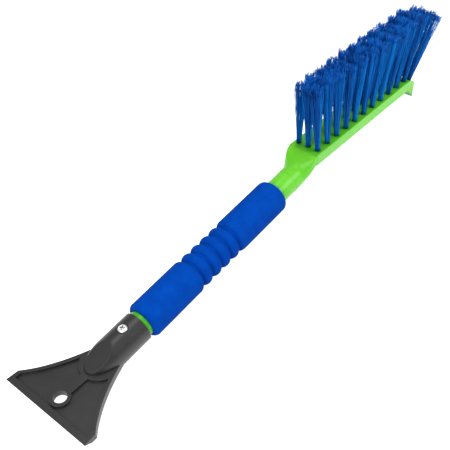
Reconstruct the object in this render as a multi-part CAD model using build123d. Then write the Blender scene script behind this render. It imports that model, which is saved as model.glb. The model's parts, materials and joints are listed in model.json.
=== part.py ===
from build123d import *
import os
from math import atan2, copysign, cos, degrees, pi, radians, sin

os.makedirs("parts", exist_ok=True)

# A car snow brush with an ice scraper on its other end.  Millimetres.
# It is drawn along its handle: X runs from the scraping edge (x = 0) to the brush, the
# handle's axis is y = 0, z = 0, Y is across and Z is up towards the bristles.
# set_down() then lays the finished pieces on their back, on the surface z = 0.

# --- Handle tube ---
tube_od = 25.8
tube_wall = 2.6
tube_start = 77.5            # its open end, inside the scraper's socket
neck_start = 326.0           # where the tube begins to turn into the brush block
neck_collar = 0.1            # the neck starts this much proud of the tube, on the radius
neck_straight = 0.3          # share of the neck that stays round
neck_inset = 0.15            # the neck ends this much inside the block's outline
neck_overlap = 3.0           # the tube runs this far into it

# --- Foam grip ---
grip_start = 112.4
grip_length = 191.2
grip_round = 4.5             # rounding of its two ends
grip_fit = 0.05              # the foam's bore over the tube, on the radius
foam_wall = 5.05             # from the bore to the outside
groove_start = 179.4         # first finger groove
groove_pitch = 12.95
groove_count = 5
groove_depth = 3.0
groove_width = 5.0
ring_drop = 0.4              # the rings between grooves stand this much lower than the grip

# --- Scraper socket and blade ---
socket_fit = 0.1             # socket bore over the tube, on the radius
socket_wall = 1.95
socket_mouth = 107.7
socket_floor = 76.0          # bottom of the socket's bore
socket_straight = 73.0       # the outside is a plain cylinder from here to the mouth
dome_length = 28.0           # rounded end beyond it, towards the blade
facet_top_x = 76.5           # thumb facet cut across the dome: from here at the top
facet_low_x = 46.0           # to here where it meets the blade
facet_low_z = 4.5
blade_width = 98.2
blade_thickness = 6.0
blade_edge_z = 8.0           # height of the scraping edge over the handle's axis
blade_slope = 0.115          # the blade's top falls this much per mm towards the handle
blade_back = 80.0            # the blade's root, under the socket
corner_x = 12.0              # the outer corners
corner_half = 48.4
side_curve = [(20.0, 41.4), (40.0, 28.4), (58.0, 19.8), (76.0, 12.9)]   # hollow side, x and half width
edge_land = 1.1              # thickness left at the scraping edge
edge_bevel = 7.0             # length of the bevel under it
rim_width = 4.0
front_strip = 6.0           # plain strip behind the edge
panel_depth = 2.4            # the two panels are sunk this far into the top
rib_width = 8.6              # rib from the dome to the hang hole
pad_radius = 19.0            # raised pad round the dome
pad_x = 61.5
hang_hole_d = 12.0
hang_hole_x = 16.7
hang_ring_d = 18.6

# --- Screw through the socket into the tube ---
screw_x = 91.9
screw_d = 3.8
screw_length = 12.0
screw_head_d = 8.4
screw_head_h = 2.3
screw_seat_depth = 1.05      # the sunk seat under the head, below the socket's top
screw_seat_d = 10.4
screw_hole_fit = 0.3         # in the socket wall, on the radius
screw_pilot_fit = 0.05       # in the tube wall, on the radius
cross_width = 1.1
cross_length = 4.6
cross_depth = 1.5

# --- Brush block ---
block_x = 364.9              # the first column of tufts, where the block's own frame sits
block_z = 19.7
block_fall = 7.2             # degrees that the block's top falls away from the handle
block_width = 35.4
block_thickness = 12.0
block_near = -8.5           # its near end, from the first column
block_edge = 1.2             # rounding of the long edges
facet_after = 4.5            # the end facet starts this far past the last column on the flat
facet_length = 16.0          # and runs this far; it carries one more column
facet_drop = 8.6
lip_depth = 13.5             # the lip under the far end, below the block's underside
lip_length = 17.0
lip_foot = 5.0               # length of the lip's bottom
lip_round = 3.0
lip_root_round = 5.0
nose_round = 2.0             # between the end facet and the lip
far_corner = 5.0             # rounding of the far corners, seen from above

# --- Bristle tufts ---
column_count = 11            # on the flat, and one more on the facet
column_pitch = 17.3
row_pitch = 11.7
row_names = ["right", "middle", "left"]
tuft_length = 73.0           # height of the trimmed tips over the block's top
end_tuft_length = 80.0       # the leaning last column
tuft_tip_d = 10.4
hole_d = 5.5
hole_depth = 8.5
tuft_fit = 0.1               # the bundle in its hole, on the radius
row_lean = 2.2               # degrees that the outer rows lean out
lean_near = -6.5             # degrees from square to the block, first column
lean_far = 17.0              # and last column on the flat
lean_growth = 1.35
end_lean = 38.0              # the column on the facet

# --- Anchor staples that hold the tufts ---
staple_thickness = 0.5
staple_height = 1.8
staple_bite = 0.6            # how far each end reaches into the block
staple_fit = 0.04

tube_r = tube_od / 2
socket_od = tube_od + 2 * (socket_fit + socket_wall)
socket_r = socket_od / 2
grip_od = tube_od + 2 * (grip_fit + foam_wall)
grip_r = grip_od / 2
screw_seat_z = socket_r - screw_seat_depth
grip_end = grip_start + grip_length
facet_start = (column_count - 1) * column_pitch + facet_after
block_end = facet_start + facet_length
hole_r = hole_d / 2
tuft_r = hole_r - tuft_fit
block_frame = Plane(
    origin=(block_x, 0, block_z),
    x_dir=(cos(radians(block_fall)), 0, -sin(radians(block_fall))),
    z_dir=(sin(radians(block_fall)), 0, cos(radians(block_fall))),
).location


def rod(x_start, x_end, radius):
    """A round bar along the handle's axis."""
    bar = Cylinder(radius, x_end - x_start, align=(Align.CENTER, Align.CENTER, Align.MIN))
    return Pos(x_start, 0, 0) * Rot(0, 90, 0) * bar


def upright(x, y, z_low, z_high, radius):
    """A round bar along Z."""
    bar = Cylinder(radius, z_high - z_low, align=(Align.CENTER, Align.CENTER, Align.MIN))
    return Pos(x, y, z_low) * bar


def blade_top(x):
    """Height of the blade's top surface."""
    return blade_edge_z - blade_slope * x


# --- Handle body: tube, neck, brush block and lip in one moulding ---

def neck_section(x, z, tilt, half_width, half_height, power):
    """A superellipse square to the neck, from round (power 2) to nearly square."""
    points = []
    for step in range(32):
        turn = 2 * pi * step / 32
        c, s = cos(turn), sin(turn)
        across = copysign(abs(c) ** (2 / power), c) * half_width
        up = copysign(abs(s) ** (2 / power), s) * half_height
        points.append((across, up))
    ahead = (cos(radians(tilt)), 0, -sin(radians(tilt)))
    plane = Plane(origin=(x, 0, z), x_dir=(0, 1, 0), z_dir=ahead)
    return plane * make_face(Spline(*points, periodic=True))


def ease(share):
    """From 0 to 1 with a level start and end."""
    share = min(max(share, 0), 1)
    return share * share * (3 - 2 * share)


def neck():
    """The tube's round section turns into the block's flat one and climbs to its height."""
    start_r = tube_r + neck_collar
    end_half = block_width / 2 - neck_inset
    end_height = block_thickness / 2 - neck_inset
    middle = (block_frame * Pos(block_near, 0, -block_thickness / 2)).position
    steps = 8
    sections = []
    for step in range(steps + 1):
        share = step / steps
        turn = ease((share - neck_straight) / (1 - neck_straight))
        widen = ease((share - neck_straight) / (0.92 - neck_straight))
        sections.append(neck_section(
            neck_start + share * (middle.X - neck_start),
            turn * middle.Z,
            share * block_fall,
            start_r + widen * (end_half - start_r),
            start_r + turn * (end_height - start_r),
            2 + 7 * turn ** 2,
        ))
    inside = (block_frame * Pos(block_near + 3, 0, -block_thickness / 2)).position
    sections.append(neck_section(inside.X, inside.Z, block_fall, end_half, end_height, 9))
    return loft(sections)


def block_side():
    """Outline of the block and its lip seen from the side, in the block's own frame."""
    under = -block_thickness
    lip_low = under - lip_depth
    outline = Polyline(
        (block_near, 0),
        (facet_start, 0),
        (block_end, -facet_drop),
        (block_end, lip_low),
        (block_end - lip_foot, lip_low),
        (block_end - lip_length, under),
        (block_near, under),
        (block_near, 0),
    )
    face = make_face(outline)
    low_corners = face.vertices().group_by(Axis.Y)[0]
    face = fillet(low_corners, lip_round)
    root = face.vertices().sort_by_distance((block_end - lip_length, under))[0]
    face = fillet(root, lip_root_round)
    nose = face.vertices().sort_by_distance((block_end, -facet_drop))[0]
    return Plane.XZ * fillet(nose, nose_round)


def block():
    """The flat bar that holds the tufts, with its end facet and lip."""
    bar = extrude(block_side(), block_width / 2, both=True)
    length = block_end - block_near
    plan = Pos((block_end + block_near) / 2, 0, 0) * Rectangle(length, block_width)
    plan = fillet(plan.vertices().sort_by(Axis.X)[-2:], far_corner)
    bar = bar & extrude(plan, 60, both=True)
    top = bar.faces().filter_by(Axis.Z).sort_by(Axis.Z)[-1]
    return fillet(top.edges().filter_by(Axis.X), block_edge)


def tuft_frames():
    """Every tuft by name: its place (Z along the bristles from the block's surface) and length."""
    frames = {}
    for column in range(column_count + 1):
        for number, row in enumerate(row_names):
            side = number - 1
            if column < column_count:
                share = column / (column_count - 1)
                lean = lean_near + (lean_far - lean_near) * share ** lean_growth
                base = Pos(column * column_pitch, side * row_pitch, 0)
            else:
                lean = end_lean
                base = Pos((facet_start + block_end) / 2, side * row_pitch, -facet_drop / 2)
            place = block_frame * base * Rot(0, lean, 0) * Rot(-side * row_lean, 0, 0)
            length = tuft_length / cos(radians(lean)) if column < column_count else end_tuft_length
            frames[f"tuft_{row}_{column + 1:02d}"] = (place, length)
    return frames


def staple(fit):
    """The flat wire across the bottom of a hole, grown by a clearance."""
    return Pos(0, 0, -hole_depth) * Box(
        staple_thickness + 2 * fit,
        hole_d + 2 * (staple_bite + fit),
        staple_height + fit,
        align=(Align.CENTER, Align.CENTER, Align.MIN),
    )


def tuft(length):
    """A bundle of bristles folded over its staple, flaring from its hole to its trimmed tips."""
    outline = Polyline(
        (0, -hole_depth), (tuft_r, -hole_depth), (tuft_r, 1.0),
        (tuft_tip_d / 2, length - 1.5), (tuft_tip_d / 2 - 1.0, length),
        (0, length), (0, -hole_depth),
    )
    bundle = revolve(Plane.XZ * make_face(outline), Axis.Z)
    return bundle - staple(staple_fit)


def handle_body(frames):
    holes = []
    for place, _ in frames.values():
        drill = Cylinder(hole_r, hole_depth + 6, align=(Align.CENTER, Align.CENTER, Align.MIN))
        holes.append(place * Pos(0, 0, -hole_depth) * drill)
        holes.append(place * staple(staple_fit))
    outside = rod(tube_start, neck_start + neck_overlap, tube_r) + neck() + block_frame * block()
    outside = outside - rod(tube_start - 1, neck_start + 1, tube_r - tube_wall)
    pilot_r = screw_d / 2 + screw_pilot_fit
    outside = outside - upright(screw_x, 0, 0, tube_r + 1, pilot_r)
    return outside - holes


# --- Foam grip ---

def foam_grip():
    """A foam sleeve: plain ends, finger grooves with rounded rings between them."""
    bore = tube_r + grip_fit
    profile = make_face(Polyline(
        (grip_start, bore), (grip_end, bore), (grip_end, grip_r), (grip_start, grip_r), (grip_start, bore),
    ))
    ring_x0 = groove_start
    ring_x1 = groove_start + (groove_count - 1) * groove_pitch
    profile -= Pos((ring_x0 + ring_x1) / 2, grip_r) * Rectangle(ring_x1 - ring_x0, 2 * ring_drop)
    for number in range(groove_count):
        x = groove_start + number * groove_pitch
        profile -= Pos(x, grip_r) * Ellipse(groove_width / 2, groove_depth)
    outer = profile.vertices().filter_by_position(Axis.Y, grip_r - 0.01, grip_r + 0.01).sort_by(Axis.X)
    profile = fillet([outer[0], outer[-1]], grip_round)
    return revolve(profile, Axis.X)


# --- Scraper head ---

def blade_plan(inset):
    """The blade seen from above, its sides drawn in by inset: clipped corners, hollow sides."""
    half = blade_width / 2 - inset
    sides = [(corner_x, corner_half - inset)] + [(x, y - inset) for x, y in side_curve]
    back = sides[-1][1]
    outline = [
        Line((0, half), sides[0]),
        Spline(*sides),
        Polyline(sides[-1], (blade_back, back), (blade_back, -back), (side_curve[-1][0], -back)),
        Spline(*[(x, -y) for x, y in reversed(sides)]),
        Polyline((corner_x, inset - corner_half), (0, -half), (0, half)),
    ]
    return make_face(outline)


def blade_slab(top_drop, thickness):
    """The sloping layer of the blade, top_drop under its top surface, seen from the side."""
    reach = blade_back + 10
    outline = Polyline(
        (-5, blade_top(-5) - top_drop), (reach, blade_top(reach) - top_drop),
        (reach, blade_top(reach) - top_drop - thickness), (-5, blade_top(-5) - top_drop - thickness),
        (-5, blade_top(-5) - top_drop),
    )
    return extrude(Plane.XZ * make_face(outline), blade_width, both=True)


def blade():
    plate = extrude(blade_plan(0), 40, both=True) & blade_slab(0, blade_thickness)
    wedge = Polyline(
        (-1, blade_top(0) - edge_land + 0.4), (0, blade_top(0) - edge_land),
        (edge_bevel, blade_top(edge_bevel) - blade_thickness),
        (edge_bevel, blade_top(0) - 20), (-1, blade_top(0) - 20), (-1, blade_top(0) - edge_land + 0.4),
    )
    plate -= extrude(Plane.XZ * make_face(wedge), blade_width, both=True)
    sunk = blade_plan(rim_width)
    sunk -= Pos(front_strip / 2, 0) * Rectangle(front_strip, blade_width)
    sunk -= Pos(pad_x, 0) * Circle(pad_radius)
    sunk -= Pos(pad_x + 40, 0) * Rectangle(80, 2 * pad_radius)
    sunk -= Pos((hang_hole_x + pad_x) / 2, 0) * Rectangle(pad_x - hang_hole_x, rib_width)
    sunk -= Pos(hang_hole_x, 0) * Circle(hang_ring_d / 2)
    plate -= extrude(sunk, 40, both=True) & blade_slab(-1, panel_depth + 1)
    return plate


def socket():
    """The round socket with its domed end, and the flat thumb facet across the dome."""
    body = rod(socket_straight, socket_mouth, socket_r)
    dome = Pos(socket_straight, 0, 0) * scale(Sphere(socket_r), by=(dome_length / socket_r, 1, 1))
    body = body + dome
    slope = (socket_r - facet_low_z) / (facet_top_x - facet_low_x)
    low_x = 0.0
    low_z = facet_low_z - slope * (facet_low_x - low_x)
    top_x = facet_top_x + 10
    top_z = socket_r + slope * 10
    over = Polyline((low_x, low_z), (top_x, top_z), (top_x, 60), (low_x, 60), (low_x, low_z))
    return body - extrude(Plane.XZ * make_face(over), 60, both=True)


def scraper_head():
    head = blade() + socket()
    head -= rod(socket_floor, socket_mouth + 1, tube_r + socket_fit)
    head -= upright(screw_x, 0, screw_seat_z, socket_r + 5, screw_seat_d / 2)
    head -= upright(screw_x, 0, 0, socket_r, screw_d / 2 + screw_hole_fit)
    head -= hang_hole_place() * Cylinder(hang_hole_d / 2, 4 * blade_thickness)
    return head


def hang_hole_place():
    """Middle of the hang hole, Z square to the blade."""
    tilt = degrees(atan2(blade_slope, 1))
    return Pos(hang_hole_x, 0, blade_top(hang_hole_x) - blade_thickness / 2) * Rot(0, tilt, 0)


# --- Head screw ---

def head_screw():
    """Pan-head self-tapping screw with a cross recess."""
    shank_r = screw_d / 2
    tip = 3.0
    outline = make_face(Polyline(
        (0, 0), (screw_head_d / 2, 0), (screw_head_d / 2, screw_head_h * 0.45),
        (screw_head_d / 2 - 1.3, screw_head_h), (0, screw_head_h), (0, 0),
    ))
    head = revolve(Plane.XZ * outline, Axis.Z)
    shank = make_face(Polyline(
        (0, 0), (shank_r, 0), (shank_r, tip - screw_length), (0, -screw_length), (0, 0),
    ))
    body = head + revolve(Plane.XZ * shank, Axis.Z)
    for turn in (0, 90):
        slot = Box(cross_length, cross_width, 2 * cross_depth)
        body -= Pos(0, 0, screw_head_h) * Rot(0, 0, turn + 30) * slot
    return Pos(screw_x, 0, screw_seat_z) * body


def all_pieces():
    frames = tuft_frames()
    pieces = {
        "handle_body": handle_body(frames),
        "scraper_head": scraper_head(),
        "foam_grip": foam_grip(),
        "head_screw": head_screw(),
    }
    one_staple = staple(0)
    for name, (place, length) in frames.items():
        pieces[name] = place * tuft(length)
    for row in row_names:
        wires = [(place * one_staple).solid() for name, (place, _) in frames.items() if row in name]
        pieces[f"staples_{row}_row"] = Compound(wires)
    return pieces


def set_down(pieces):
    """Lay the brush on its back: lip and grip on z = 0, and the box's middle over the origin."""
    lip_point = block_frame * Pos(block_end - lip_foot, 0, -block_thickness - lip_depth)
    contact_x = grip_start + grip_round
    rise = -grip_r - lip_point.position.Z
    tilt = degrees(atan2(rise, lip_point.position.X - contact_x))
    turned = {name: Rot(0, -tilt, 0) * piece for name, piece in pieces.items()}
    box = Compound(list(turned.values())).bounding_box()
    shift = Pos(-(box.min.X + box.max.X) / 2, 0, -box.min.Z)
    print("rest tilt", round(tilt, 4), "shift", shift.position)
    hole = shift * Rot(0, -tilt, 0) * hang_hole_place()
    print("hang hole", hole.position, "axis", Plane(hole).z_dir)
    return {name: shift * piece for name, piece in turned.items()}


for name, piece in set_down(all_pieces()).items():
    export_step(Compound(piece.solids()), f"parts/{name}.step")
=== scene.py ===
import json
import math

import bpy
import numpy as np
from mathutils import Matrix, Vector


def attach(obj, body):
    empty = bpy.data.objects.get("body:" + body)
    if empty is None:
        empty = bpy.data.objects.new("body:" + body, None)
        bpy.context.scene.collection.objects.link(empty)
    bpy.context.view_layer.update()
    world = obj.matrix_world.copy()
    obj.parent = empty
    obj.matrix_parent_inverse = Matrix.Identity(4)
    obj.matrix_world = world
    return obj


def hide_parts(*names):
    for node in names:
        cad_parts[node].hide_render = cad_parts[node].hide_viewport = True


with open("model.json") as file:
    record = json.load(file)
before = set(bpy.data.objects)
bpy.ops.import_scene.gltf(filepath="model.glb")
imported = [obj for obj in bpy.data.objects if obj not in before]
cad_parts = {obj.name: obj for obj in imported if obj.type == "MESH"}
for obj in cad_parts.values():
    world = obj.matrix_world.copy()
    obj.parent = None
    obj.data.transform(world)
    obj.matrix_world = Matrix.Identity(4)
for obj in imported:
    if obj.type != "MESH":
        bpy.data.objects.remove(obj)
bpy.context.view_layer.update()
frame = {"nodes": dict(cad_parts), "record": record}

MM = 0.001

# --- The handle's own frame ------------------------------------------------------------
# Along the handle X runs from the scraping edge to the brush, its axis is y = 0, z = 0.
# The finished brush lies on its back, so that frame is tilted by REST_TILT about Y and
# moved.  The hang hole's place fixes the move.
EDGE_HEIGHT = 8.0           # scraping edge over the handle's axis, mm
BLADE_SLOPE = 0.115         # the blade's fall towards the handle, mm per mm
BLADE_THICKNESS = 6.0
HOLE_X = 16.7               # hang hole from the scraping edge

HOLE = frame["record"]["mounts"][0]
HOLE_AXIS = Vector(HOLE["axis"])
REST_TILT = math.atan(BLADE_SLOPE) - math.atan2(HOLE_AXIS.x, HOLE_AXIS.z)
TURN = np.array([
    [math.cos(REST_TILT), 0, -math.sin(REST_TILT)],
    [0, 1, 0],
    [math.sin(REST_TILT), 0, math.cos(REST_TILT)],
])
HOLE_IN_HANDLE = np.array([HOLE_X, 0, EDGE_HEIGHT - BLADE_SLOPE * HOLE_X - BLADE_THICKNESS / 2])
SHIFT = np.array(HOLE["pos_m"]) / MM - TURN @ HOLE_IN_HANDLE


def place(points):
    """Points in the handle's frame, in mm, to the row frame, in metres."""
    return (np.asarray(points, float) @ TURN.T + SHIFT) * MM


# --- Sizes, mm, in the handle's frame ---------------------------------------------------
GRIP_RADIUS = 18.0
GRIP_START = 112.4
GRIP_LENGTH = 191.2
GRIP_ROUND = 4.5            # rounding of its two ends
GRIP_BORE = 12.95           # radius of the bore
GROOVE_START = 179.4        # middle of the first finger groove
GROOVE_PITCH = 12.95
GROOVE_COUNT = 5
GROOVE_DEPTH = 3.8
GROOVE_FLOOR = 1.5          # half width of a groove's flat bottom
RING_DROP = 0.4             # the rings between the grooves stand this much lower than the grip

BLOCK_X = 364.9             # first tuft of the middle row, on the block's flat top
BLOCK_Z = 19.7
BLOCK_FALL = math.radians(7.2)
FACET_START = 177.5         # the end facet, measured along the block from the first tuft
BLOCK_END = 193.5
FACET_DROP = 8.6
COLUMNS = 11                # on the flat, and one more on the end facet
COLUMN_PITCH = 17.3
ROW_PITCH = 11.7
ROWS = ["right", "middle", "left"]
ROW_LEAN = math.radians(-2.4)   # the outer rows of the first columns lean in, less and less
ROW_LEAN_COLUMNS = 5
LEAN_NEAR = -4.0            # first column, degrees from square to the block, back being negative
LEAN_FAR = 17.0             # last column on the flat
LEAN_GROWTH = 1.35          # power of the column's share at which the lean grows
END_LEAN = 38.0             # column on the end facet
TUFT_LENGTH = 73.0
END_TUFT_LENGTH = 80.0
HOLE_RADIUS = 2.75          # of the hole that a tuft is set in


# --- Nodes and materials ------------------------------------------------------------------
# A mix node has sockets for each kind of data; these are the places of the colour ones.
MIX_FACTOR = 0
MIX_FIRST = 6
MIX_SECOND = 7
MIX_RESULT = 2


def rgb(hex_colour):
    """sRGB hex to linear red, green, blue, alpha."""
    parts = [int(hex_colour[i:i + 2], 16) / 255 for i in (1, 3, 5)]
    linear = [c / 12.92 if c <= 0.04045 else ((c + 0.055) / 1.055) ** 2.4 for c in parts]
    return (*linear, 1.0)


def add(tree, kind, links=(), stops=(), **settings):
    """One node: links join (socket, input), stops fill a colour ramp with (place, colour), and
    settings name the node's own properties or its inputs.  Properties are set first, because
    some of them decide which inputs the node has."""
    node = tree.nodes.new(kind)
    for name, value in settings.items():
        if hasattr(node, name):
            setattr(node, name, value)
    for name, value in settings.items():
        if not hasattr(node, name):
            node.inputs[name.replace("_", " ")].default_value = value
    if stops:
        elements = node.color_ramp.elements
        while len(elements) < len(stops):
            elements.new(0.5)
        for element, (where, colour) in zip(elements, stops):
            element.position = where
            element.color = colour
    for socket, target in links:
        tree.links.new(socket, node.inputs[target])
    return node


def new_material(name):
    """An empty node material with its output."""
    material = bpy.data.materials.new(name)
    material.use_nodes = True
    material.node_tree.nodes.clear()
    output = material.node_tree.nodes.new("ShaderNodeOutputMaterial")
    return material, material.node_tree, output


def per_mm(size):
    """Texture scale, on metre coordinates, whose features are about size mm across."""
    return 1 / (size * MM)


def moulded_polypropylene():
    """Green injection-moulded polypropylene: a waxy satin gloss over a faint flow ripple, with a
    little light scattered below the surface.  Towards corners and the feet of the tufts the
    colour is painted a deeper, darker green by ambient occlusion: painted shade."""
    material, tree, output = new_material("moulded_green_polypropylene")
    here = add(tree, "ShaderNodeTexCoord").outputs["Object"]
    drift = add(tree, "ShaderNodeTexNoise", [(here, "Vector")], Scale=per_mm(30), Detail=2.0)
    colour = add(tree, "ShaderNodeValToRGB", [(drift.outputs["Fac"], "Fac")],
                 stops=[(0.3, rgb("#66cd22")), (0.7, rgb("#70d42e"))])
    # Painted shade: ambient occlusion darkens the green in corners and between the tufts.
    open_air = add(tree, "ShaderNodeAmbientOcclusion", samples=8, Distance=11 * MM)
    painted_shade_mask = add(tree, "ShaderNodeValToRGB", [(open_air.outputs["AO"], "Fac")],
                stops=[(0.6, rgb("#000000")), (0.95, rgb("#ffffff"))])
    painted_shade_green = add(tree, "ShaderNodeValToRGB", [(open_air.outputs["AO"], "Fac")],
                stops=[(0.25, rgb("#06520a")), (0.7, rgb("#34ae08"))])
    green_with_painted_shade = add(tree, "ShaderNodeMix",
               [(painted_shade_mask.outputs["Color"], MIX_FACTOR), (painted_shade_green.outputs["Color"], MIX_FIRST),
                (colour.outputs["Color"], MIX_SECOND)],
               data_type="RGBA")
    ripple = add(tree, "ShaderNodeTexNoise", [(here, "Vector")], Scale=per_mm(6), Detail=1.0)
    grain = add(tree, "ShaderNodeTexNoise", [(here, "Vector")], Scale=per_mm(0.6), Detail=2.0)
    gloss = add(tree, "ShaderNodeMapRange", [(grain.outputs["Fac"], "Value")],
                To_Min=0.27, To_Max=0.38)
    soft = add(tree, "ShaderNodeBevel", samples=6, Radius=0.6 * MM)
    wavy = add(tree, "ShaderNodeBump",
               [(ripple.outputs["Fac"], "Height"), (soft.outputs["Normal"], "Normal")],
               Strength=0.10, Distance=0.5 * MM)
    shader = add(tree, "ShaderNodeBsdfPrincipled",
                 [(green_with_painted_shade.outputs[MIX_RESULT], "Base Color"), (gloss.outputs["Result"], "Roughness"),
                  (wavy.outputs["Normal"], "Normal")],
                 IOR=1.49, Specular_IOR_Level=0.32, Subsurface_Weight=0.15,
                 Subsurface_Scale=2 * MM, Subsurface_Radius=(0.5, 1.0, 0.2))
    tree.links.new(shader.outputs["BSDF"], output.inputs["Surface"])
    return material


def moulded_black():
    """Black glass-filled nylon from a spark-eroded mould: dark satin with a fine grain that
    breaks up its highlights, and edges just round enough to catch the light."""
    material, tree, output = new_material("moulded_black_plastic")
    here = add(tree, "ShaderNodeTexCoord").outputs["Object"]
    cloud = add(tree, "ShaderNodeTexNoise", [(here, "Vector")], Scale=per_mm(14), Detail=3.0)
    colour = add(tree, "ShaderNodeValToRGB", [(cloud.outputs["Fac"], "Fac")],
                 stops=[(0.3, rgb("#191919")), (0.7, rgb("#1f1f20"))])
    grain = add(tree, "ShaderNodeTexNoise", [(here, "Vector")], Scale=per_mm(0.5), Detail=2.0)
    gloss = add(tree, "ShaderNodeMapRange", [(cloud.outputs["Fac"], "Value")],
                To_Min=0.36, To_Max=0.46)
    soft = add(tree, "ShaderNodeBevel", samples=6, Radius=0.45 * MM)
    rough = add(tree, "ShaderNodeBump",
                [(grain.outputs["Fac"], "Height"), (soft.outputs["Normal"], "Normal")],
                Strength=0.25, Distance=0.08 * MM)
    shader = add(tree, "ShaderNodeBsdfPrincipled",
                 [(colour.outputs["Color"], "Base Color"), (gloss.outputs["Result"], "Roughness"),
                  (rough.outputs["Normal"], "Normal")],
                 IOR=1.5)
    tree.links.new(shader.outputs["BSDF"], output.inputs["Surface"])
    return material


def closed_cell_foam():
    """Blue EVA foam, skived and heat-skinned: matte, with fine open pores about 0.5 mm across
    drawn at 0.8 mm so that they show, and a faint mottle.  The pores are darkened in the
    colour: painted shade."""
    material, tree, output = new_material("blue_eva_foam")
    here = add(tree, "ShaderNodeTexCoord").outputs["Object"]
    pores = add(tree, "ShaderNodeTexVoronoi", [(here, "Vector")], Scale=per_mm(0.8))
    mottle = add(tree, "ShaderNodeTexNoise", [(here, "Vector")], Scale=per_mm(9), Detail=4.0)
    tint = add(tree, "ShaderNodeValToRGB", [(mottle.outputs["Fac"], "Fac")],
               stops=[(0.3, rgb("#0040a2")), (0.7, rgb("#0048b0"))])
    # Painted shade: the middles of the pores are darkened in the colour.
    painted_pore_shade = add(tree, "ShaderNodeValToRGB", [(pores.outputs["Distance"], "Fac")],
               stops=[(0.0, rgb("#d0d0d0")), (0.25, rgb("#ffffff"))])
    colour = add(tree, "ShaderNodeMix",
                 [(tint.outputs["Color"], MIX_FIRST), (painted_pore_shade.outputs["Color"], MIX_SECOND)],
                 data_type="RGBA", blend_type="MULTIPLY")
    colour.inputs[MIX_FACTOR].default_value = 1.0
    skin = add(tree, "ShaderNodeTexNoise", [(here, "Vector")], Scale=per_mm(1.2), Detail=5.0)
    rough = add(tree, "ShaderNodeBump", [(skin.outputs["Fac"], "Height")],
                Strength=0.35, Distance=0.25 * MM)
    pit = add(tree, "ShaderNodeBump",
              [(pores.outputs["Distance"], "Height"), (rough.outputs["Normal"], "Normal")],
              Strength=0.2, Distance=0.15 * MM)
    shader = add(tree, "ShaderNodeBsdfPrincipled",
                 [(colour.outputs[MIX_RESULT], "Base Color"), (pit.outputs["Normal"], "Normal")],
                 Roughness=0.8, IOR=1.45, Specular_IOR_Level=0.04)
    tree.links.new(shader.outputs["BSDF"], output.inputs["Surface"])
    return material


def drawn_filament():
    """Blue polypropylene filament, drawn smooth: each strand has its own shade in the red of the
    attribute shade, and its green turns the split tips a deeper blue than the stems."""
    material, tree, output = new_material("blue_polypropylene_filament")
    shade = add(tree, "ShaderNodeAttribute", attribute_name="shade")
    split = add(tree, "ShaderNodeSeparateColor", [(shade.outputs["Color"], "Color")])
    strand = add(tree, "ShaderNodeValToRGB", [(split.outputs["Red"], "Fac")],
                 stops=[(0.0, rgb("#00429a")), (0.5, rgb("#006cca")), (1.0, rgb("#0090ee"))])
    tip = add(tree, "ShaderNodeValToRGB", [(split.outputs["Red"], "Fac")],
              stops=[(0.0, rgb("#00246e")), (1.0, rgb("#0a7ae4"))])
    colour = add(tree, "ShaderNodeMix",
                 [(split.outputs["Green"], MIX_FACTOR), (strand.outputs["Color"], MIX_FIRST),
                  (tip.outputs["Color"], MIX_SECOND)],
                 data_type="RGBA")
    shader = add(tree, "ShaderNodeBsdfPrincipled", [(colour.outputs[MIX_RESULT], "Base Color")],
                 Roughness=0.42, IOR=1.49, Specular_IOR_Level=0.1)
    tree.links.new(shader.outputs["BSDF"], output.inputs["Surface"])
    return material


def zinc_plated_steel():
    """Zinc-plated screw: bright and slightly cloudy, and painted dark down in its recess by ambient
    occlusion: painted shade.
    """
    material, tree, output = new_material("zinc_plated_steel")
    here = add(tree, "ShaderNodeTexCoord").outputs["Object"]
    cloud = add(tree, "ShaderNodeTexNoise", [(here, "Vector")], Scale=per_mm(1.5), Detail=3.0)
    gloss = add(tree, "ShaderNodeMapRange", [(cloud.outputs["Fac"], "Value")],
                To_Min=0.3, To_Max=0.42)
    # Painted shade: ambient occlusion darkens the colour down in the recess.
    painted_recess_shade = add(tree, "ShaderNodeAmbientOcclusion", samples=8, Distance=1.6 * MM)
    colour = add(tree, "ShaderNodeValToRGB", [(painted_recess_shade.outputs["AO"], "Fac")],
                 stops=[(0.35, rgb("#3c3c3c")), (0.75, rgb("#ececea"))])
    shader = add(tree, "ShaderNodeBsdfPrincipled",
                 [(colour.outputs["Color"], "Base Color"), (gloss.outputs["Result"], "Roughness")],
                 Metallic=0.6)
    tree.links.new(shader.outputs["BSDF"], output.inputs["Surface"])
    return material


def drawn_steel_wire():
    """Flat drawn steel wire of the anchor staples, dull grey."""
    material, tree, output = new_material("drawn_steel_wire")
    here = add(tree, "ShaderNodeTexCoord").outputs["Object"]
    streak = add(tree, "ShaderNodeTexNoise", [(here, "Vector")], Scale=per_mm(0.8))
    gloss = add(tree, "ShaderNodeMapRange", [(streak.outputs["Fac"], "Value")],
                To_Min=0.35, To_Max=0.5)
    shader = add(tree, "ShaderNodeBsdfPrincipled", [(gloss.outputs["Result"], "Roughness")],
                 Base_Color=rgb("#9d9d9f"), Metallic=1.0)
    tree.links.new(shader.outputs["BSDF"], output.inputs["Surface"])
    return material


GREEN = moulded_polypropylene()
BLACK = moulded_black()
FOAM = closed_cell_foam()
FILAMENT = drawn_filament()
ZINC = zinc_plated_steel()
WIRE = drawn_steel_wire()


def dress(node, material):
    """Give a CAD node its finish."""
    slots = frame["nodes"][node].data.materials
    slots.clear()
    slots.append(material)


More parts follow.
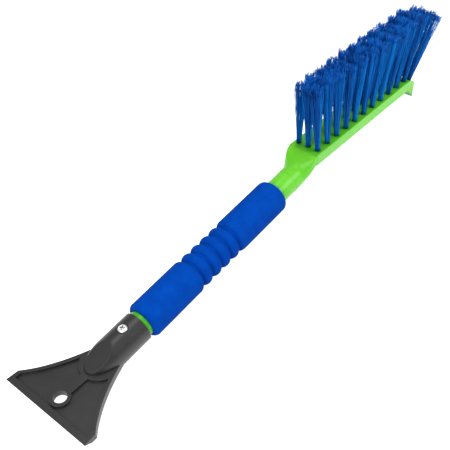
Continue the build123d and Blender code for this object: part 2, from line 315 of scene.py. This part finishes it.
def new_mesh(name, points, faces, material, replaced):
    """A piece from points in the handle's frame and faces of one size, riding on the body."""
    mesh = bpy.data.meshes.new(name)
    faces = np.asarray(faces, np.int32)
    corners = faces.shape[1]
    mesh.vertices.add(len(points))
    mesh.vertices.foreach_set("co", place(points).astype(np.float32).ravel())
    mesh.loops.add(faces.size)
    mesh.loops.foreach_set("vertex_index", faces.ravel())
    mesh.polygons.add(len(faces))
    mesh.polygons.foreach_set("loop_start", np.arange(0, faces.size, corners, dtype=np.int32))
    mesh.polygons.foreach_set("loop_total", np.full(len(faces), corners, np.int32))
    mesh.update(calc_edges=True)
    mesh.shade_smooth()
    mesh.materials.append(material)
    piece = bpy.data.objects.new(name, mesh)
    bpy.context.scene.collection.objects.link(piece)
    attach(piece, "root")
    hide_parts(replaced)
    return piece


# --- Foam grip --------------------------------------------------------------------------
GRIP_STATIONS = 700         # points along the profile
GRIP_SIDES = 96             # points round it
GRIP_WAVE = 0.06            # how far the foam's outside is from a true cylinder
GRIP_WAVE_LOBES = 3         # times round the grip
GRIP_WAVE_REACH = 23.0      # mm along it for each radian
BORE_CLEAR = 1.0            # only points this far outside the bore are uneven


def grip_profile():
    """Outside radius of the grip along it: a cylinder with rounded ends and finger grooves.
    With t falling from 1 at the edge of a groove's flat floor to 0 at the top of the ring beside
    it, the foam is GROOVE_DEPTH (1 - sqrt(1 - t^2)) lower, so that each ring is a round arch."""
    x = np.linspace(0, GRIP_LENGTH, GRIP_STATIONS)
    radius = np.full_like(x, GRIP_RADIUS)
    for end in (0, GRIP_LENGTH):
        near = np.clip(GRIP_ROUND - np.abs(x - end), 0, GRIP_ROUND)
        radius -= GRIP_ROUND - np.sqrt(GRIP_ROUND ** 2 - near ** 2)
    first = GROOVE_START - GRIP_START
    last = first + (GROOVE_COUNT - 1) * GROOVE_PITCH
    radius -= RING_DROP * ((x > first) & (x < last))
    for number in range(GROOVE_COUNT):
        away = np.abs(x - first - number * GROOVE_PITCH)
        hollow = np.clip(1 - (away - GROOVE_FLOOR) / (GROOVE_PITCH / 2 - GROOVE_FLOOR), 0, 1)
        radius -= GROOVE_DEPTH * (1 - np.sqrt(1 - hollow ** 2))
    return x + GRIP_START, radius


def foam_grip():
    """A closed sleeve: the profile turned round the axis, then back along the bore.  Outside, the
    radius also rises and falls by GRIP_WAVE sin(lobes * turn) sin(x / reach)."""
    x, radius = grip_profile()
    x = np.concatenate([x, x[::-1]])
    radius = np.concatenate([radius, np.full(len(radius), GRIP_BORE)])
    turn = np.arange(GRIP_SIDES) * 2 * math.pi / GRIP_SIDES
    lobes = np.sin(GRIP_WAVE_LOBES * turn)
    wave = GRIP_WAVE * lobes[None, :] * np.sin(x / GRIP_WAVE_REACH)[:, None]
    size = radius[:, None] + wave * (radius[:, None] > GRIP_BORE + BORE_CLEAR)
    points = np.stack([
        np.repeat(x[:, None], GRIP_SIDES, 1),
        size * np.cos(turn)[None, :],
        size * np.sin(turn)[None, :],
    ], axis=-1).reshape(-1, 3)
    ring, side = np.meshgrid(np.arange(len(x)), np.arange(GRIP_SIDES), indexing="ij")
    here, ahead = ring * GRIP_SIDES, (ring + 1) % len(x) * GRIP_SIDES
    beside = (side + 1) % GRIP_SIDES
    faces = np.stack([here + side, here + beside, ahead + beside, ahead + side], -1)
    piece = new_mesh("foam_sleeve", points, faces.reshape(-1, 4), FOAM, "foam_grip")


# --- Bristle tufts ------------------------------------------------------------------------
SEED = 1000                 # column c and row r draw from the seed SEED + 10 c + r
PHASE = 6                   # random phases run from 0 to this, nearly a whole turn
STRANDS = 150               # filaments in a tuft, 75 folded in half
STRAND_RADIUS = 0.21
STRAND_TAPER = 0.5          # a filament's last point is this share of its radius
BENDS = 9                   # points along a filament
SIDES = 3
HOLE_GAP = 0.1              # from the outermost filaments to the hole's wall
ROOT_DEPTH = 1.0            # a filament starts this far down its hole
TRIM = 2.0                  # and ends this far short of the tuft's length, give or take
NAP_OF_LOCKS = 1.5          # the unevenness there of whole locks
NAP_OF_STRANDS = 1.0        # and of single strands
CLUMPS = 17                 # locks that the strands of a tuft cling together in
CLUMP_TURN = 2.4            # radians from one lock to the next
CLING = 0.5                 # how far each tip is drawn to the middle of its lock
CLING_SCATTER = 0.07        # and its scatter there, as a share of the fan
FAN_ALONG = 8.4             # how far the tips spread along the block
FAN_ACROSS = 6.2            # and across it
FAN_GROWTH = 3.0            # the last columns on the flat fan wider along it by up to this
FAN_GROWTH_POWER = 4        # power of the column's share at which that comes in
FAN_POWER = 1.15            # a filament bends outward as this power of its height
END_FAN = 15.0              # spread along the block in the last, leaning column
END_SKEW = -6.5             # where the middle of that fan lies
STRAYS = 0.07               # share of strands that stand out of the tuft
STRAY_SCATTER = 3.2         # scatter of their tips
TIP_SCATTER = 0.8           # scatter of all the other tips
SWAY = 0.35                 # how far a filament wanders from its bend
SWAY_TURNS = 1.5            # half turns of that along it
LOCK_SHADE = 0.7            # how much of the shade a whole lock has in common
STRAND_SHADE = 0.15         # what each strand adds to it
SHADE_SCATTER = 0.16
TIP_START = 0.86            # share of the height at which the tip's colour comes in
TIP_TINT = 0.6              # how much of it the stem's own end takes
FLAGS = 3                   # split ends on each filament
FLAG_START = 0.4            # where they leave it, as a share of its last step
FLAG_LENGTH = (3.0, 8.0)    # shortest and longest
FLAG_SPLAY = 0.11           # sideways, as a share of their length
FLAG_BULGE = 0.3            # their middles are pushed on by this, so that they curve
FLAG_TAPER = (0.7, 0.6, 0.3)    # radius at root, middle and tip, over the filament's
FLAG_SHADE_SCATTER = 0.15


def tuft_axes(column, side):
    """Base point, the three directions of a tuft and its length, in the handle's frame."""
    along = np.array([math.cos(BLOCK_FALL), 0, -math.sin(BLOCK_FALL)])
    up = np.array([math.sin(BLOCK_FALL), 0, math.cos(BLOCK_FALL)])
    across = np.array([0.0, 1.0, 0.0])
    origin = np.array([BLOCK_X, 0, BLOCK_Z])
    if column < COLUMNS:
        share = column / (COLUMNS - 1)
        lean = math.radians(LEAN_NEAR + (LEAN_FAR - LEAN_NEAR) * share ** LEAN_GROWTH)
        base = origin + along * column * COLUMN_PITCH + across * side * ROW_PITCH
        length = TUFT_LENGTH / math.cos(lean)
    else:
        lean = math.radians(END_LEAN)
        facet = origin + along * (FACET_START + BLOCK_END) / 2 - up * FACET_DROP / 2
        base = facet + across * side * ROW_PITCH
        length = END_TUFT_LENGTH
    forward = along * math.cos(lean) - up * math.sin(lean)
    rise = along * math.sin(lean) + up * math.cos(lean)
    tilt = side * ROW_LEAN * max(0.0, 1 - column / ROW_LEAN_COLUMNS)
    direction = rise * math.cos(tilt) + across * math.sin(tilt)
    sideways = across * math.cos(tilt) - rise * math.sin(tilt)
    return base, forward, sideways, direction, length


def strand_tubes(lines, radii, shade, tipness):
    """Three-sided tubes round many lines at once.  lines is (strand, point, 3), radii (strand,
    point); each section is a triangle square to its line, and a triangle closes each end."""
    count, steps, _ = lines.shape
    ahead = np.gradient(lines, axis=1)
    ahead /= np.linalg.norm(ahead, axis=-1, keepdims=True)
    helper = np.array([0.3, 0.9, 0.1])      # along no filament
    side = np.cross(ahead, helper)
    side /= np.linalg.norm(side, axis=-1, keepdims=True)
    over = np.cross(ahead, side)
    turn = np.arange(SIDES) * 2 * math.pi / SIDES
    ring = (side[:, :, None, :] * np.cos(turn)[None, None, :, None]
            + over[:, :, None, :] * np.sin(turn)[None, None, :, None])
    points = lines[:, :, None, :] + ring * radii[:, :, None, None]
    index = np.arange(count * steps * SIDES).reshape(count, steps, SIDES)
    a = index[:, :-1, :]
    b = index[:, 1:, :]
    quads = np.stack([a, np.roll(a, -1, 2), np.roll(b, -1, 2), b], -1).reshape(-1, 4)
    colour = np.zeros((count, steps, SIDES, 4), np.float32)
    colour[..., 0] = shade[:, None, None]
    colour[..., 1] = tipness[:, :, None]
    colour[..., 3] = 1
    start = index[:, 0, ::-1].reshape(-1, SIDES)
    end = index[:, -1, :].reshape(-1, SIDES)
    return points.reshape(-1, 3), quads, np.concatenate([start, end]), colour.reshape(-1, 4)


def strand_locks(inside, column):
    """The lock that each strand clings in, and that lock's middle.  The middles are set out as a
    sunflower's seeds over a disc of radius 1, and a strand joins the one nearest to its root."""
    pick = np.arange(CLUMPS)
    turn = pick * CLUMP_TURN + column
    middles = np.sqrt((pick + 0.5) / CLUMPS)[:, None] * np.stack([np.cos(turn), np.sin(turn)], 1)
    lock = np.argmin(np.linalg.norm(inside[:, None] - middles[None], axis=2), axis=1)
    return lock, middles[lock]


def stem_lines(rng, column, axes):
    """Points along each filament, and its lock.  The roots are packed as a sunflower's seeds, at
    the golden angle.  From its root a filament bends to its tip as the power FAN_POWER of its
    height and wanders a little on the way, and the tips keep to a trimmed, uneven plane."""
    base, forward, sideways, direction, length = axes
    number = np.arange(STRANDS)
    rim = HOLE_RADIUS - STRAND_RADIUS - HOLE_GAP
    radius = np.sqrt((number + 0.5) / STRANDS) * rim
    angle = number * math.pi * (3 - math.sqrt(5)) + rng.uniform(0, PHASE)
    u0, v0 = radius * np.cos(angle), radius * np.sin(angle)
    inside = np.stack([u0, v0], 1) / rim
    lock, middle = strand_locks(inside, column)
    ends = inside * (1 - CLING) + middle * CLING + rng.normal(0, CLING_SCATTER, (STRANDS, 2))
    fan, skew = FAN_ALONG + FAN_GROWTH * (column / (COLUMNS - 1)) ** FAN_GROWTH_POWER, 0.0
    if column == COLUMNS:
        fan, skew = END_FAN, END_SKEW
    loose = np.where(rng.random(STRANDS) < STRAYS, STRAY_SCATTER, TIP_SCATTER)
    u1 = ends[:, 0] * fan + skew + rng.normal(0, 1, STRANDS) * loose
    v1 = ends[:, 1] * FAN_ACROSS + rng.normal(0, 1, STRANDS) * loose
    nap = rng.normal(0, NAP_OF_LOCKS, CLUMPS)[lock]
    tall = length - TRIM + nap + rng.normal(0, NAP_OF_STRANDS, STRANDS)
    share = np.linspace(0, 1, BENDS)
    bend = share ** FAN_POWER
    sway = rng.normal(0, SWAY, (STRANDS, 2))
    phase = rng.uniform(0, PHASE, STRANDS)
    wander = np.sin(share[None, :] * math.pi * SWAY_TURNS + phase[:, None]) * share[None, :]
    u = u0[:, None] * (1 - bend) + u1[:, None] * bend + wander * sway[:, :1]
    v = v0[:, None] * (1 - bend) + v1[:, None] * bend + wander * sway[:, 1:]
    h = -ROOT_DEPTH + (tall[:, None] + ROOT_DEPTH) * share[None, :]
    lines = base + u[..., None] * forward + v[..., None] * sideways + h[..., None] * direction
    return lines, lock


def split_ends(rng, lines, shade, axes):
    """The flags: short tubes that leave a filament just below its tip, in FLAGS directions."""
    _, forward, sideways, _, _ = axes
    root = lines[:, -2] * (1 - FLAG_START) + lines[:, -1] * FLAG_START
    ahead = lines[:, -1] - lines[:, -2]
    ahead /= np.linalg.norm(ahead, axis=1, keepdims=True)
    reach = rng.uniform(*FLAG_LENGTH, (FLAGS, STRANDS))
    splay = rng.normal(0, FLAG_SPLAY, (FLAGS, STRANDS, 2))
    aside = splay[..., :1] * forward + splay[..., 1:] * sideways
    tips = root + ahead * reach[..., None] + aside * reach[..., None]
    middle = root + (tips - root) * 0.5 + ahead * FLAG_BULGE
    flags = np.stack([np.broadcast_to(root, tips.shape), middle, tips], axis=2).reshape(-1, 3, 3)
    radii = np.tile(STRAND_RADIUS * np.array(FLAG_TAPER), (len(flags), 1))
    scatter = rng.normal(0, FLAG_SHADE_SCATTER, len(flags))
    flag_shade = np.clip(np.tile(shade, FLAGS) + scatter, 0, 1)
    return strand_tubes(flags, radii, flag_shade, np.ones((len(flags), 3)))


def bristle_tuft(column, row):
    """One tuft: its stems and their split ends in one mesh, with their shades as an attribute."""
    rng = np.random.default_rng(SEED + column * 10 + row)
    axes = tuft_axes(column, row - 1)
    lines, lock = stem_lines(rng, column, axes)
    radii = np.full((STRANDS, BENDS), STRAND_RADIUS)
    radii[:, -1] *= STRAND_TAPER
    common = LOCK_SHADE * rng.uniform(0, 1, CLUMPS)[lock]
    shade = np.clip(common + rng.normal(STRAND_SHADE, SHADE_SCATTER, STRANDS), 0, 1)
    height = np.linspace(0, 1, BENDS)
    tint = np.clip((height - TIP_START) / (1 - TIP_START), 0, 1) * TIP_TINT
    stems = strand_tubes(lines, radii, shade, np.repeat(tint[None, :], STRANDS, 0))
    ends = split_ends(rng, lines, shade, axes)

    points = np.concatenate([stems[0], ends[0]])
    quads = np.concatenate([stems[1], ends[1] + len(stems[0])])
    caps = np.concatenate([stems[2], ends[2] + len(stems[0])])
    triangles = np.concatenate([quads[:, [0, 1, 2]], quads[:, [0, 2, 3]], caps])
    name = f"{ROWS[row]}_{column + 1:02d}"
    piece = new_mesh(f"bristles_{name}", points, triangles, FILAMENT, f"tuft_{name}")
    layer = piece.data.color_attributes.new("shade", "FLOAT_COLOR", "POINT")
    layer.data.foreach_set("color", np.concatenate([stems[3], ends[3]]).ravel())


# --- Dressing the CAD nodes and adding the soft pieces ------------------------------------
dress("handle_body", GREEN)
dress("scraper_head", BLACK)
dress("head_screw", ZINC)
for row_name in ROWS:
    dress(f"staples_{row_name}_row", WIRE)
foam_grip()
for column_number in range(COLUMNS + 1):
    for row_number in range(len(ROWS)):
        bristle_tuft(column_number, row_number)


# --- Stage, light and camera ---------------------------------------------------------------
FLOOR_REACH = 4.0           # metres from the middle to each side
FLOOR_GLOW = 0.82           # what camera and mirror rays see on top of the lit paper
WORLD_LIGHT = 0.24          # the world's strength as a light
WORLD_MIRRORED = 0.65       # as mirror rays see it
WORLD_SEEN = 1.0            # as the camera sees it

# The view, in the handle's frame
HEADING = math.radians(46.44)   # round from +X
DOWN = math.radians(46.72)
ROLL = math.radians(-9.05)
EYE = (-89.2, -336.3, 513.5)
LENS = 57.6
SENSOR = 36.0
FAR_CLIP = 20               # metres


def white_stage():
    """A large white floor.  Camera and mirror rays see it near white; the shadow on it stays."""
    corners = [(x * FLOOR_REACH, y * FLOOR_REACH, 0) for x, y in ((-1, -1), (1, -1), (1, 1), (-1, 1))]
    mesh = bpy.data.meshes.new("floor")
    mesh.from_pydata(corners, [], [(0, 1, 2, 3)])
    floor = bpy.data.objects.new("floor", mesh)
    bpy.context.scene.collection.objects.link(floor)
    material, tree, output = new_material("white_paper")
    paper = add(tree, "ShaderNodeBsdfDiffuse", Color=rgb("#f4f4f4"))
    glow = add(tree, "ShaderNodeEmission", Strength=FLOOR_GLOW)
    rays = add(tree, "ShaderNodeLightPath")
    seen = add(tree, "ShaderNodeMath",
               [(rays.outputs["Is Camera Ray"], 0), (rays.outputs["Is Glossy Ray"], 1)],
               operation="MAXIMUM")
    dark = add(tree, "ShaderNodeEmission", Strength=0.0)
    lit = add(tree, "ShaderNodeMixShader",
              [(seen.outputs[0], "Fac"), (dark.outputs[0], 1), (glow.outputs[0], 2)])
    both = add(tree, "ShaderNodeAddShader", [(paper.outputs[0], 0), (lit.outputs[0], 1)])
    tree.links.new(both.outputs[0], output.inputs["Surface"])
    mesh.materials.append(material)


def white_world():
    """Even pale light all round.  The camera sees it pure white, and mirror rays a step darker."""
    world = bpy.data.worlds.new("studio")
    world.use_nodes = True
    tree = world.node_tree
    tree.nodes.clear()
    output = tree.nodes.new("ShaderNodeOutputWorld")
    white = rgb("#ffffff")
    light = add(tree, "ShaderNodeBackground", Color=white, Strength=WORLD_LIGHT)
    mirrored = add(tree, "ShaderNodeBackground", Color=white, Strength=WORLD_MIRRORED)
    full = add(tree, "ShaderNodeBackground", Color=white, Strength=WORLD_SEEN)
    rays = add(tree, "ShaderNodeLightPath")
    unseen = add(tree, "ShaderNodeMixShader",
                 [(rays.outputs["Is Glossy Ray"], "Fac"), (light.outputs[0], 1),
                  (mirrored.outputs[0], 2)])
    mixed = add(tree, "ShaderNodeMixShader",
                [(rays.outputs["Is Camera Ray"], "Fac"), (unseen.outputs[0], 1),
                 (full.outputs[0], 2)])
    tree.links.new(mixed.outputs[0], output.inputs["Surface"])
    bpy.context.scene.world = world


def soft_box(name, where, aim, long, wide, power):
    """A rectangular area lamp at where, turned to aim, its long side along X; mm, m and watts."""
    lamp = bpy.data.lights.new(name, "AREA")
    lamp.shape = "RECTANGLE"
    lamp.size = long
    lamp.size_y = wide
    lamp.energy = power
    holder = bpy.data.objects.new(name, lamp)
    start = Vector(place(where))
    back = (start - Vector(place(aim))).normalized()
    over = back.cross(Vector((1, 0, 0))).normalized()
    turned = Matrix((over.cross(back), over, back)).transposed().to_4x4()
    holder.matrix_world = Matrix.Translation(start) @ turned
    bpy.context.scene.collection.objects.link(holder)


def camera():
    """The camera at EYE, looking HEADING round from +X and DOWN from level, and turned by ROLL."""
    ahead = np.array([
        math.cos(HEADING) * math.cos(DOWN), math.sin(HEADING) * math.cos(DOWN), -math.sin(DOWN),
    ])
    level = np.array([math.sin(HEADING), -math.cos(HEADING), 0])
    over = np.cross(level, ahead)
    right = level * math.cos(ROLL) + over * math.sin(ROLL)
    top = np.cross(right, ahead)
    data = bpy.data.cameras.new("camera")
    data.sensor_width = SENSOR
    data.lens = LENS
    data.clip_end = FAR_CLIP
    holder = bpy.data.objects.new("camera", data)
    matrix = np.identity(4)
    matrix[:3, :3] = np.stack([TURN @ right, TURN @ top, -(TURN @ ahead)], axis=1)
    matrix[:3, 3] = place(EYE)
    holder.matrix_world = Matrix(matrix.tolist())
    bpy.context.scene.collection.objects.link(holder)
    bpy.context.scene.camera = holder


white_stage()
white_world()
soft_box("front", where=(860, -600, 500), aim=(300, 0, 20), long=0.5, wide=0.45, power=3.9)
soft_box("overhead", where=(585, 105, 800), aim=(280, 0, 10), long=0.75, wide=0.16, power=3.4)
soft_box("fill", where=(-350, -150, 620), aim=(250, 0, 20), long=0.6, wide=0.6, power=5.5)
camera()
bpy.context.scene.view_settings.view_transform = "Standard"
